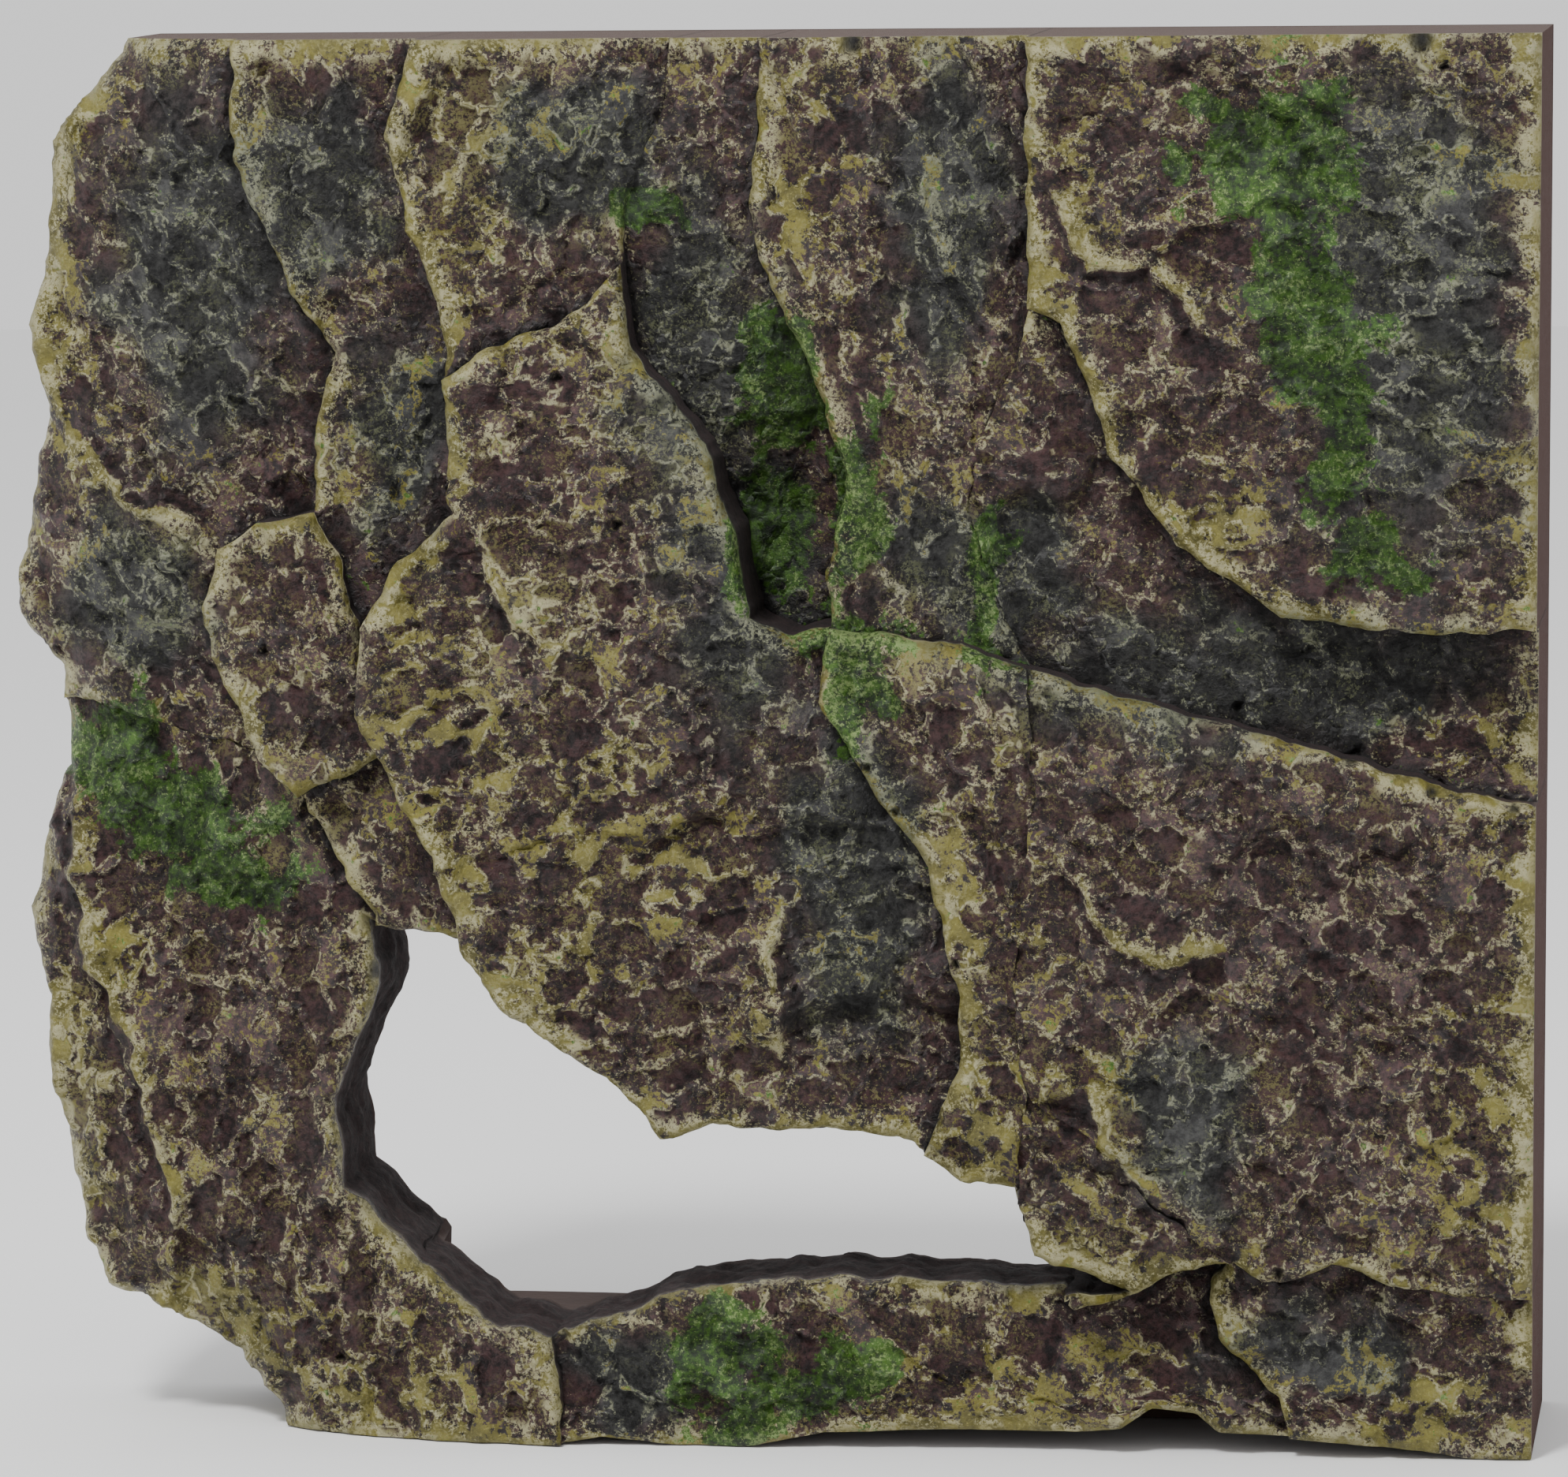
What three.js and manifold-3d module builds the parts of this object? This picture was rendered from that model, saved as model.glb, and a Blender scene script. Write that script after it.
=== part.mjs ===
// Hollow cave ornament: a bonded shell of cast-resin rock slabs, open at the back, standing on its
// flat bottom edge. Millimetres, +X right, +Z up, the rock face towards -Y.
//
// Outlines and seams are drawn in the plane of the rock face, as [x, z] points. "Relief" is how far
// a surface stands in front of the open back plane.

import * as THREE from 'three';
import * as BufferGeometryUtils from 'three/addons/utils/BufferGeometryUtils.js';
import Module from 'manifold-3d';

const wasm = await Module();
wasm.setup();

// ---- driving dimensions ----------------------------------------------------------------------
const HEIGHT = 188; // flat bottom edge to the top front edge
const RIGHT = 101; // right side, at the front
const TOP_DRAFT = 1; // the top face rises this much towards the back
const RIGHT_DRAFT = 1.5; // the right side leans out this much towards the back
const DEPTH = 60; // more than the deepest slab
const GLUE_LINE = 0.3; // gap between neighbouring castings
const SHOULDER_DROP = 8; // how far the rock rolls back at its ragged left side
const SHOULDER_REACH = 6;
const RELIEF_STEP = 5; // spacing of the relief grid
const CEILING_STEP = 12; // spacing of the grid over the cave
const CEILING = 31; // height of the cave behind the slabs
const CEILING_FALL = 0.3; // slope of its left part
const CEILING_FALL_FROM = -50;
const POCKET_DEPTH = 8; // shallow pocket behind the arm
const RAIL_DEPTH = 17; // room for the rear rail behind the sill
const RAIL_TOP = 13.5;
const RAIL_LEFT = -50;
const RAIL_RIGHT = 58;
const BEYOND = 8; // cutters reach this far past what they cut

// ---- seams between the slabs, each drawn from its upper or left end -----------------------------
const SEAMS = {
  flankTop: [[-72, 196], [-72.5, 178], [-71, 169], [-63.5, 153.5], [-59, 146.5], [-62, 137], [-62, 125.5]],
  boulderLeft: [[-62, 125.5], [-69.5, 124], [-74.5, 120.5], [-76.5, 113], [-75.5, 106], [-71.5, 97.5], [-69, 92]],
  boulderToe: [[-69, 92], [-64.5, 87]],
  wedgeLeft: [[-64.5, 87], [-59.5, 78.5], [-54.5, 71], [-54, 60]],
  crownLeft: [[-45.5, 196], [-48, 184], [-50.5, 176], [-48, 163.5], [-44.5, 155], [-43, 143.5]],
  centralShoulder: [[-43, 143.5], [-42, 131.5], [-41.5, 126], [-49, 119.5], [-54, 110.5], [-54.5, 104]],
  boulderRight: [[-54.5, 104], [-54.5, 99], [-50.5, 91]],
  wedgeRight: [[-50.5, 91], [-45, 81.5], [-41.5, 72.5], [-40, 60]],
  boulderTop: [[-62, 125.5], [-58.5, 120], [-56, 111.5], [-54.5, 104]],
  wedgeTop: [[-64.5, 87], [-59, 90], [-53.5, 92.5], [-50.5, 91]],
  armTop: [[-120, 98], [-95, 98.5], [-88, 97], [-79.5, 94.5], [-69, 92]],
  armFoot: [[-31, 24], [-31, 14.5], [-29.5, 9], [-29, -8]],
  archFoot: [[20, 36], [-15, 38], [-40, 60]],
  sillTop: [[-31, 24], [5, 30], [34, 26], [40, 20]],
  crownRight: [[-11.5, 196], [-14.5, 178], [-18, 171], [-20, 159]],
  crownBottom: [[-43, 143.5], [-38.5, 147], [-29, 150.5], [-23.5, 153.5], [-20, 159]],
  gullyLeft: [[-20, 159], [-18.5, 148.5], [-8, 135], [-5.5, 126.5], [-2, 112], [3, 109.5], [8, 111]],
  gullyRight: [[-0.5, 196], [-1, 185], [-2, 167.5], [-1, 159], [5, 146.5], [10.5, 131], [7.5, 118], [8, 111]],
  centralRight: [[8, 111], [7, 101], [12, 92.5], [21.5, 79.5], [25, 62.5], [25.5, 54], [21.5, 43.5], [20, 36]],
  ledge: [[8, 111], [17, 110], [26, 108.5], [34.5, 105.5]],
  upperRightSide: [[34.5, 196], [34.5, 169.5], [35, 152.5]],
  upperRightLip: [
    [35, 152.5], [39, 151], [42.5, 143], [45, 134.5], [54, 122], [60, 117.5], [68, 112.5], [86, 110], [112, 111],
  ],
  valleyLeft: [[35, 152.5], [28, 135.5], [26.5, 126], [29, 117], [34.5, 105.5]],
  valleyFloor: [[34.5, 105.5], [46.5, 102], [61, 98], [76.5, 94], [91, 89], [112, 85]],
  lowerRightSide: [[34.5, 105.5], [35.5, 90], [33, 69], [33, 58.5], [34, 49]],
  lobeLeft: [[34, 49], [33, 42.5], [32.5, 30]],
  lobeTop: [[34, 49], [39, 46], [46, 40.5], [51, 34], [61, 27]],
  lobeBottom: [[61, 27], [54.5, 25.5], [49, 22.5], [40, 20]],
  footTop: [[61, 27], [65, 24], [68.5, 24], [74, 26.5], [82, 23.5], [89, 22], [112, 21.5]],
  footLeft: [[61, 27], [58, 23], [59, 16], [67, 7.5], [70, -8]],
};

// Points well outside the ornament that close the slabs along its rim.
const FAR = {
  topLeft: [-120, 196],
  topRight: [112, 196],
  bottomLeft: [-120, -8],
  bottomRight: [112, -8],
};

// The ragged left side, from the chamfered top corner down to the foot.
const LEFT_SIDE = [
  [-89, 188], [-95, 181], [-100, 175], [-101, 160], [-103.5, 150], [-101, 139], [-103, 129.5], [-106, 116.5],
  [-106, 110], [-100, 103], [-99.5, 91], [-103.5, 78], [-105.5, 70], [-102, 58], [-102.5, 50], [-97, 24.5],
  [-94, 18.5], [-80.5, 13], [-75.5, 9.5], [-68.5, 0],
];
const OUTLINE = [...LEFT_SIDE, [RIGHT - 1, 0], [RIGHT, HEIGHT]];

// The mouth of the cave: its arched upper edge from left to right, then back along the sill and arm.
const MOUTH = [
  [-56, 70], [-41, 68], [-35.5, 60.5], [-20.5, 50], [-14.5, 43], [-8, 44], [11, 44], [17, 43], [26.5, 37],
  [32, 36.5], [35, 27], [48, 22.5], [33, 21.5], [7.5, 22.5], [-14, 20.5], [-24.5, 16], [-31, 14.5],
  [-37.5, 15.5], [-46, 21.5], [-55, 29], [-59.5, 34], [-60.5, 46], [-54.5, 61.5],
];

// The cave behind the slabs, as it opens on the back plane.
const CAVE = [
  [-86, 181], [94, 181], [94, 14], [64, 14], [64, 26], [-45, 26], [-52, 50], [-52, 74], [-60, 88], [-86, 104],
];
const CEILING_BUMPS = [
  { at: [2, 122], rise: -12, reach: 17 },
  { at: [-22, 88], rise: 8, reach: 24 },
  { at: [68, 62], rise: 6, reach: 24 },
  { at: [62, 152], rise: 6, reach: 24 },
];

const PURPLE_BROWN = 0x4e3e42;
const CHARCOAL = 0x3a3d43;
const OCHRE = 0x8a8255;
const MOSS = 0x3f5f26;
const RAW_RESIN = 0x5a4038;

// ---- the slabs ---------------------------------------------------------------------------------
// relief: height at the point `at`; lean: [per mm to the right, per mm up]; crown: how much lower the
// surface is 50 mm away from `at`; bumps: local swellings or hollows.
const SLABS = [
  {
    name: 'left_flank_slab', color: CHARCOAL, edge: ['flankTop', 'boulderLeft', '-armTop', 'topLeft'],
    at: [-80, 140], relief: 31, lean: [0.12, 0], crown: 0,
    bumps: [{ at: [-68, 130], rise: -4, reach: 6 }, { at: [-77, 103], rise: -3, reach: 6 }],
  },
  {
    name: 'left_mid_slab', color: CHARCOAL,
    edge: ['crownLeft', 'centralShoulder', '-boulderTop', '-flankTop'],
    at: [-57, 150], relief: 37, lean: [-0.08, 0], crown: 0,
  },
  {
    name: 'crown_slab', color: OCHRE, edge: ['crownRight', '-crownBottom', '-crownLeft'],
    at: [-33, 168], relief: 42, lean: [-0.1, -0.02], crown: 1,
  },
  {
    name: 'lobe_boulder', color: PURPLE_BROWN,
    edge: ['boulderTop', 'boulderRight', '-wedgeTop', '-boulderToe', '-boulderLeft'],
    at: [-65, 106], relief: 42, lean: [-0.05, 0], crown: 8,
  },
  {
    name: 'wedge_slab', color: CHARCOAL, edge: ['wedgeTop', 'wedgeRight', '-wedgeLeft'],
    at: [-52, 80], relief: 37.5, lean: [0.1, -0.05], crown: 0,
  },
  {
    name: 'central_slab', color: PURPLE_BROWN,
    edge: [
      'crownBottom', 'gullyLeft', 'centralRight', 'archFoot', '-wedgeRight', '-boulderRight',
      '-centralShoulder',
    ],
    at: [-20, 95], relief: 50, lean: [-0.1, -0.04], crown: 2.5,
  },
  {
    name: 'gully_bed', color: MOSS, edge: ['gullyRight', '-gullyLeft', '-crownRight'],
    at: [-4, 145], relief: 36, lean: [0, 0.12], crown: 0, bumps: [{ at: [2, 123], rise: -5, reach: 10 }],
  },
  {
    name: 'middle_slab', color: PURPLE_BROWN,
    edge: ['upperRightSide', 'valleyLeft', '-ledge', '-gullyRight'],
    at: [16, 150], relief: 43, lean: [-0.1, -0.04], crown: 0,
  },
  {
    name: 'lower_middle_slab', color: OCHRE, edge: ['ledge', 'lowerRightSide', 'lobeLeft', '-centralRight'],
    at: [22, 75], relief: 49, lean: [-0.02, 0], crown: 1,
  },
  {
    name: 'upper_right_slab', color: PURPLE_BROWN,
    edge: ['upperRightSide', 'upperRightLip', 'topRight'],
    at: [65, 150], relief: 47, lean: [-0.06, -0.04], crown: 0,
  },
  {
    name: 'valley_bed', color: CHARCOAL, edge: ['upperRightLip', '-valleyFloor', '-valleyLeft'],
    at: [60, 105], relief: 39.5, lean: [-0.04, 0.06], crown: 0,
  },
  {
    name: 'lower_right_slab', color: PURPLE_BROWN,
    edge: ['valleyFloor', '-footTop', '-lobeTop', '-lowerRightSide'],
    at: [65, 65], relief: 47, lean: [-0.07, 0.01], crown: 1,
  },
  {
    name: 'overhang_lobe', color: OCHRE, edge: ['lobeTop', 'lobeBottom', '-lobeLeft'],
    at: [45, 36], relief: 47.5, lean: [0, 0.1], crown: 5,
  },
  {
    name: 'right_foot', color: OCHRE, edge: ['footTop', 'bottomRight', '-footLeft'],
    at: [80, 12], relief: 42, lean: [-0.02, 0], crown: 0,
  },
  {
    name: 'left_arm', color: PURPLE_BROWN,
    edge: ['armTop', 'boulderToe', 'wedgeLeft', 'armFoot', 'bottomLeft'],
    at: [-75, 60], relief: 32, lean: [0.15, -0.06], crown: 0,
  },
  {
    name: 'base_sill', color: MOSS, edge: ['-lobeBottom', 'footLeft', '-armFoot', 'sillTop'],
    at: [10, 10], relief: 38.5, lean: [0, -0.2], crown: 0,
  },
];

// ---- plane geometry ----------------------------------------------------------------------------
const samePoint = (a, b) => Math.hypot(a[0] - b[0], a[1] - b[1]) < 0.01;

function ring(edge) {
  const points = [];
  for (const key of edge) {
    const name = key.replace('-', '');
    const run = FAR[name] ? [FAR[name]] : SEAMS[name];
    points.push(...(key.startsWith('-') ? [...run].reverse() : run));
  }
  return points.filter((point, i) => !samePoint(point, points[(i + 1) % points.length]));
}

function turn(points) {
  let area = 0;
  points.forEach(([x, z], i) => {
    const [nextX, nextZ] = points[(i + 1) % points.length];
    area += x * nextZ - nextX * z;
  });
  return Math.sign(area);
}

// Moves every side of a closed outline inwards by the same distance.
function inset(points, distance) {
  const side = turn(points) * distance;
  return points.map(([x, z], i) => {
    const before = points[(i + points.length - 1) % points.length];
    const after = points[(i + 1) % points.length];
    const into = new THREE.Vector2(x - before[0], z - before[1]).normalize();
    const out = new THREE.Vector2(after[0] - x, after[1] - z).normalize();
    const inward = new THREE.Vector2(-into.y - out.y, into.x + out.x);
    const stretch = (2 * side) / inward.lengthSq();
    return [x + inward.x * stretch, z + inward.y * stretch];
  });
}

function distanceToRun(x, z, run) {
  let nearest = Infinity;
  for (let i = 1; i < run.length; i += 1) {
    const [ax, az] = run[i - 1];
    const [bx, bz] = run[i];
    const along = ((x - ax) * (bx - ax) + (z - az) * (bz - az)) / ((bx - ax) ** 2 + (bz - az) ** 2);
    const t = THREE.MathUtils.clamp(along, 0, 1);
    nearest = Math.min(nearest, Math.hypot(x - ax - t * (bx - ax), z - az - t * (bz - az)));
  }
  return nearest;
}

// ---- relief ------------------------------------------------------------------------------------
function bumpSum(x, z, bumps) {
  return bumps.reduce((sum, { at, rise, reach }) => {
    const spread = ((x - at[0]) ** 2 + (z - at[1]) ** 2) / (2 * reach ** 2);
    return sum + rise * Math.exp(-spread);
  }, 0);
}

function slabRelief({ at, relief, lean, crown, bumps = [] }) {
  return (x, z) => {
    const dx = x - at[0];
    const dz = z - at[1];
    const dome = (crown * (dx ** 2 + dz ** 2)) / 50 ** 2;
    const shoulder = SHOULDER_DROP * Math.exp(-distanceToRun(x, z, LEFT_SIDE) / SHOULDER_REACH);
    return relief + lean[0] * dx + lean[1] * dz - dome - shoulder + bumpSum(x, z, bumps);
  };
}

function ceilingRelief(x, z) {
  return CEILING - CEILING_FALL * Math.max(0, CEILING_FALL_FROM - x) + bumpSum(x, z, CEILING_BUMPS);
}

// ---- solids ------------------------------------------------------------------------------------
function toSolid(geometry) {
  geometry.deleteAttribute('normal');
  geometry.deleteAttribute('uv');
  const welded = BufferGeometryUtils.mergeVertices(geometry, 1e-4);
  return new wasm.Manifold(new wasm.Mesh({
    numProp: 3,
    vertProperties: new Float32Array(welded.attributes.position.array),
    triVerts: new Uint32Array(welded.index.array),
  }));
}

function toGeometry(solid) {
  const mesh = solid.getMesh();
  const geometry = new THREE.BufferGeometry();
  geometry.setAttribute('position', new THREE.BufferAttribute(new Float32Array(mesh.vertProperties), 3));
  geometry.setIndex(new THREE.BufferAttribute(new Uint32Array(mesh.triVerts), 1));
  geometry.computeVertexNormals();
  return geometry;
}

// A prism through the ornament from relief `from` to relief `to`.
function prismGeometry(outline, from, to) {
  const shape = new THREE.Shape(outline.map(([x, z]) => new THREE.Vector2(x, z)));
  const geometry = new THREE.ExtrudeGeometry(shape, { depth: to - from, bevelEnabled: false });
  geometry.rotateX(Math.PI / 2);
  geometry.translate(0, -from, 0);
  return geometry;
}

const prism = (outline, from, to) => toSolid(prismGeometry(outline, from, to));

// A closed block whose front is a grid over the box of `outline`, at the height that `reliefAt` gives.
function reliefSolid(outline, step, reliefAt, backRelief) {
  const xs = outline.map((point) => point[0]);
  const zs = outline.map((point) => point[1]);
  const left = Math.min(...xs);
  const low = Math.min(...zs);
  const columns = Math.ceil((Math.max(...xs) - left) / step);
  const rows = Math.ceil((Math.max(...zs) - low) / step);
  const geometry = new THREE.BoxGeometry(1, 1, 1, columns, 1, rows);
  geometry.translate(0.5, -0.5, 0.5);
  const position = geometry.attributes.position;
  for (let i = 0; i < position.count; i += 1) {
    const x = left + position.getX(i) * columns * step;
    const z = low + position.getZ(i) * rows * step;
    const atFront = position.getY(i) < -0.5;
    position.setXYZ(i, x, atFront ? -reliefAt(x, z) : -backRelief, z);
  }
  return toSolid(geometry);
}

// The outline block leans out towards the back at its top and right side.
function outlineBlock() {
  const geometry = prismGeometry(OUTLINE, 0, DEPTH);
  const position = geometry.attributes.position;
  for (let i = 0; i < position.count; i += 1) {
    const back = 1 + position.getY(i) / DEPTH;
    if (position.getZ(i) > HEIGHT - 1) position.setZ(i, position.getZ(i) + TOP_DRAFT * back);
    if (position.getX(i) > RIGHT - 2) position.setX(i, position.getX(i) + RIGHT_DRAFT * back);
  }
  return toSolid(geometry);
}

function railRoom() {
  const left = RAIL_LEFT;
  const right = RAIL_RIGHT;
  return prism([[left, -BEYOND], [right, -BEYOND], [right, 26], [left, 26]], -BEYOND, RAIL_DEPTH);
}

function hollow() {
  const cave = reliefSolid(CAVE, CEILING_STEP, ceilingRelief, -BEYOND).intersect(prism(CAVE, -BEYOND, DEPTH));
  const pocket = prism([[-72, 24], [-44, 24], [-44, 90], [-72, 90]], -BEYOND, POCKET_DEPTH);
  return cave.add(pocket).add(railRoom()).add(prism(MOUTH, -BEYOND, DEPTH + BEYOND));
}

function slabSolid(slab, body) {
  const outline = inset(ring(slab.edge), GLUE_LINE / 2);
  const face = reliefSolid(outline, RELIEF_STEP, slabRelief(slab), -BEYOND);
  return body.intersect(prism(outline, -BEYOND, DEPTH)).intersect(face);
}

// The bar behind the sill that closes the foot of the ring at the back.
function railSolid() {
  const profile = new THREE.Shape();
  const left = RAIL_LEFT + GLUE_LINE;
  const right = RAIL_RIGHT - GLUE_LINE;
  profile.moveTo(left, 0);
  profile.lineTo(right, 0);
  profile.lineTo(right, RAIL_TOP);
  profile.quadraticCurveTo(20, RAIL_TOP - 1, 0, RAIL_TOP - 1);
  profile.quadraticCurveTo(-15, RAIL_TOP, left, RAIL_TOP);
  const geometry = new THREE.ExtrudeGeometry(profile, {
    depth: RAIL_DEPTH - GLUE_LINE, bevelEnabled: false, curveSegments: 6,
  });
  geometry.rotateX(Math.PI / 2);
  return toSolid(geometry);
}

// ---- assembly ----------------------------------------------------------------------------------
function addCasting(group, name, solid, color) {
  const material = new THREE.MeshStandardMaterial({ color, roughness: 0.62, metalness: 0 });
  const mesh = new THREE.Mesh(toGeometry(solid), material);
  mesh.name = name;
  group.add(mesh);
}

function largestBody(solid) {
  const bodies = solid.decompose();
  return bodies.reduce((best, body) => (body.volume() > best.volume() ? body : best));
}

const ornament = new THREE.Group();
const shell = outlineBlock().subtract(hollow());
for (const slab of SLABS) {
  addCasting(ornament, slab.name, largestBody(slabSolid(slab, shell)), slab.color);
}
addCasting(ornament, 'rear_rail', railSolid(), RAW_RESIN);

// The origin is at the middle of the footprint, on the surface that the ornament stands on.
const box = new THREE.Box3().setFromObject(ornament);
ornament.position.set(-(box.min.x + box.max.x) / 2, -(box.min.y + box.max.y) / 2, -box.min.z);
ornament.updateMatrixWorld(true);

export default ornament;
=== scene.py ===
"""Looks of the hollow rock cave: each cast slab gets a dense, weathered face and dry-brushed paint.

Shapes are worked out in millimetres in the plane of the rock face, as [x, z] points, with "relief"
being the distance in front of the open back plane. The heights come from the frame's own slabs.
Noise is given by the size of its bumps, its number of layers and a seed.
"""

import math

import bpy
import numpy as np
from mathutils import Matrix, Vector
from mathutils.bvhtree import BVHTree
from mathutils.geometry import delaunay_2d_cdt
from mathutils.kdtree import KDTree


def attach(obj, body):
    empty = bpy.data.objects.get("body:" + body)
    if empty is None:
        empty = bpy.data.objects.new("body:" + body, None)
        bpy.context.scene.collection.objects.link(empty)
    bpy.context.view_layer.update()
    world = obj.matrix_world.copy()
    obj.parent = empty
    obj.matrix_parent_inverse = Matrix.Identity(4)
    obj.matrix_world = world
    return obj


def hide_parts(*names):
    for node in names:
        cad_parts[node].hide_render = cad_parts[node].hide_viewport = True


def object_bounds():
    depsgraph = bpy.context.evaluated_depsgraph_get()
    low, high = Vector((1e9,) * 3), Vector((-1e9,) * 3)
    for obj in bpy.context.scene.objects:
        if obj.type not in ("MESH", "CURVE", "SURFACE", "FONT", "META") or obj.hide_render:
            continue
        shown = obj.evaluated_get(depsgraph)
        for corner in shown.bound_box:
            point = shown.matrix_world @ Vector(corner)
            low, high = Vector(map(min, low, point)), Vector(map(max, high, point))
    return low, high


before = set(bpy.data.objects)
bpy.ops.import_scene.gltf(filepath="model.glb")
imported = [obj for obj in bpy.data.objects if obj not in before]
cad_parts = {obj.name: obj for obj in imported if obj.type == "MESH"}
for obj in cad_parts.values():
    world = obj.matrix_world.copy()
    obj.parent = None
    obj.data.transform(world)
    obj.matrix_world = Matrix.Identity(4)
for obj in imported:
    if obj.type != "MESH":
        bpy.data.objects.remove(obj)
cad_low, cad_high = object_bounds()

# ---- measures, mm ----------------------------------------------------------------------------
MM = 0.001
HEIGHT = 188.0
RIGHT = 101.0  # X of the right side's front edge at the top
RIGHT_LEAN = 1.0  # how much further in that edge is at the foot
TOP_DRAFT = 1.0  # how far the top rises over DRAFT_DEPTH towards the back
RIGHT_DRAFT = 1.5  # the same for the right side
DRAFT_DEPTH = 60.0
SPACING = 0.6  # between points of the rock face
BACK_SPACING = 3.0  # between points inside the cave
BORDER_STEP = 0.55  # how far inside its border a slab's height is read
WANDER = 0.55  # how far seams and outlines stray
UNDERSIDE_REACH = 9.0  # height over which the unevenness of the underside fades
WALL_BULGE = 0.9  # of the free side walls, such as the mouth's
INSIDE_BULGE = 0.35
TALLEST_STEP = 12.0
MOUTH_WALL = 1.0  # places this close to the mouth's outline are on its wall
SHARP_ANGLE = math.radians(62)
SHIFT_X = cad_high.x / MM - RIGHT - RIGHT_DRAFT  # from X in this script to the frame's
BACK_Y = cad_high.y / MM

# ---- the lines that part the slabs, as in the frame ----------------------------------------------
SEAMS = {
    "flankTop": [
        [-72, 196], [-72.5, 178], [-71, 169], [-63.5, 153.5], [-59, 146.5], [-62, 137], [-62, 125.5],
    ],
    "boulderLeft": [
        [-62, 125.5], [-69.5, 124], [-74.5, 120.5], [-76.5, 113], [-75.5, 106], [-71.5, 97.5], [-69, 92],
    ],
    "boulderToe": [[-69, 92], [-64.5, 87]],
    "wedgeLeft": [[-64.5, 87], [-59.5, 78.5], [-54.5, 71], [-54, 60]],
    "crownLeft": [[-45.5, 196], [-48, 184], [-50.5, 176], [-48, 163.5], [-44.5, 155], [-43, 143.5]],
    "centralShoulder": [[-43, 143.5], [-42, 131.5], [-41.5, 126], [-49, 119.5], [-54, 110.5], [-54.5, 104]],
    "boulderRight": [[-54.5, 104], [-54.5, 99], [-50.5, 91]],
    "wedgeRight": [[-50.5, 91], [-45, 81.5], [-41.5, 72.5], [-40, 60]],
    "boulderTop": [[-62, 125.5], [-58.5, 120], [-56, 111.5], [-54.5, 104]],
    "wedgeTop": [[-64.5, 87], [-59, 90], [-53.5, 92.5], [-50.5, 91]],
    "armTop": [[-120, 98], [-95, 98.5], [-88, 97], [-79.5, 94.5], [-69, 92]],
    "armFoot": [[-31, 24], [-31, 14.5], [-29.5, 9], [-29, -8]],
    "archFoot": [[20, 36], [-15, 38], [-40, 60]],
    "sillTop": [[-31, 24], [5, 30], [34, 26], [40, 20]],
    "crownRight": [[-11.5, 196], [-14.5, 178], [-18, 171], [-20, 159]],
    "crownBottom": [[-43, 143.5], [-38.5, 147], [-29, 150.5], [-23.5, 153.5], [-20, 159]],
    "gullyLeft": [[-20, 159], [-18.5, 148.5], [-8, 135], [-5.5, 126.5], [-2, 112], [3, 109.5], [8, 111]],
    "gullyRight": [
        [-0.5, 196], [-1, 185], [-2, 167.5], [-1, 159], [5, 146.5], [10.5, 131], [7.5, 118], [8, 111],
    ],
    "centralRight": [
        [8, 111], [7, 101], [12, 92.5], [21.5, 79.5], [25, 62.5], [25.5, 54], [21.5, 43.5], [20, 36],
    ],
    "ledge": [[8, 111], [17, 110], [26, 108.5], [34.5, 105.5]],
    "upperRightSide": [[34.5, 196], [34.5, 169.5], [35, 152.5]],
    "upperRightLip": [
        [35, 152.5], [39, 151], [42.5, 143], [45, 134.5], [54, 122], [60, 117.5], [68, 112.5], [86, 110],
        [112, 111],
    ],
    "valleyLeft": [[35, 152.5], [28, 135.5], [26.5, 126], [29, 117], [34.5, 105.5]],
    "valleyFloor": [[34.5, 105.5], [46.5, 102], [61, 98], [76.5, 94], [91, 89], [112, 85]],
    "lowerRightSide": [[34.5, 105.5], [35.5, 90], [33, 69], [33, 58.5], [34, 49]],
    "lobeLeft": [[34, 49], [33, 42.5], [32.5, 30]],
    "lobeTop": [[34, 49], [39, 46], [46, 40.5], [51, 34], [61, 27]],
    "lobeBottom": [[61, 27], [54.5, 25.5], [49, 22.5], [40, 20]],
    "footTop": [[61, 27], [65, 24], [68.5, 24], [74, 26.5], [82, 23.5], [89, 22], [112, 21.5]],
    "footLeft": [[61, 27], [58, 23], [59, 16], [67, 7.5], [70, -8]],
}
FAR = {"topLeft": [-120, 196], "topRight": [112, 196], "bottomLeft": [-120, -8], "bottomRight": [112, -8]}
OUTLINE = [
    [-89, 188], [-95, 181], [-100, 175], [-101, 160], [-103.5, 150], [-101, 139], [-103, 129.5],
    [-106, 116.5], [-106, 110], [-100, 103], [-99.5, 91], [-103.5, 78], [-105.5, 70], [-102, 58],
    [-102.5, 50], [-97, 24.5], [-94, 18.5], [-80.5, 13], [-75.5, 9.5], [-68.5, 0],
    [RIGHT - RIGHT_LEAN, 0], [RIGHT, HEIGHT],
]
MOUTH = [
    [-56, 70], [-41, 68], [-35.5, 60.5], [-20.5, 50], [-14.5, 43], [-8, 44], [11, 44], [17, 43], [26.5, 37],
    [32, 36.5], [35, 27], [48, 22.5], [33, 21.5], [7.5, 22.5], [-14, 20.5], [-24.5, 16], [-31, 14.5],
    [-37.5, 15.5], [-46, 21.5], [-55, 29], [-59.5, 34], [-60.5, 46], [-54.5, 61.5],
]
# Outlines of the spaces hollowed out behind the face.
HOLLOWS = [
    [
        [-86, 181], [94, 181], [94, 14], [64, 14], [64, 26], [-45, 26], [-52, 50], [-52, 74], [-60, 88],
        [-86, 104],
    ],
    [[-72, 24], [-44, 24], [-44, 90], [-72, 90]],
    [[-50, -8], [58, -8], [58, 26], [-50, 26]],
]

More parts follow.
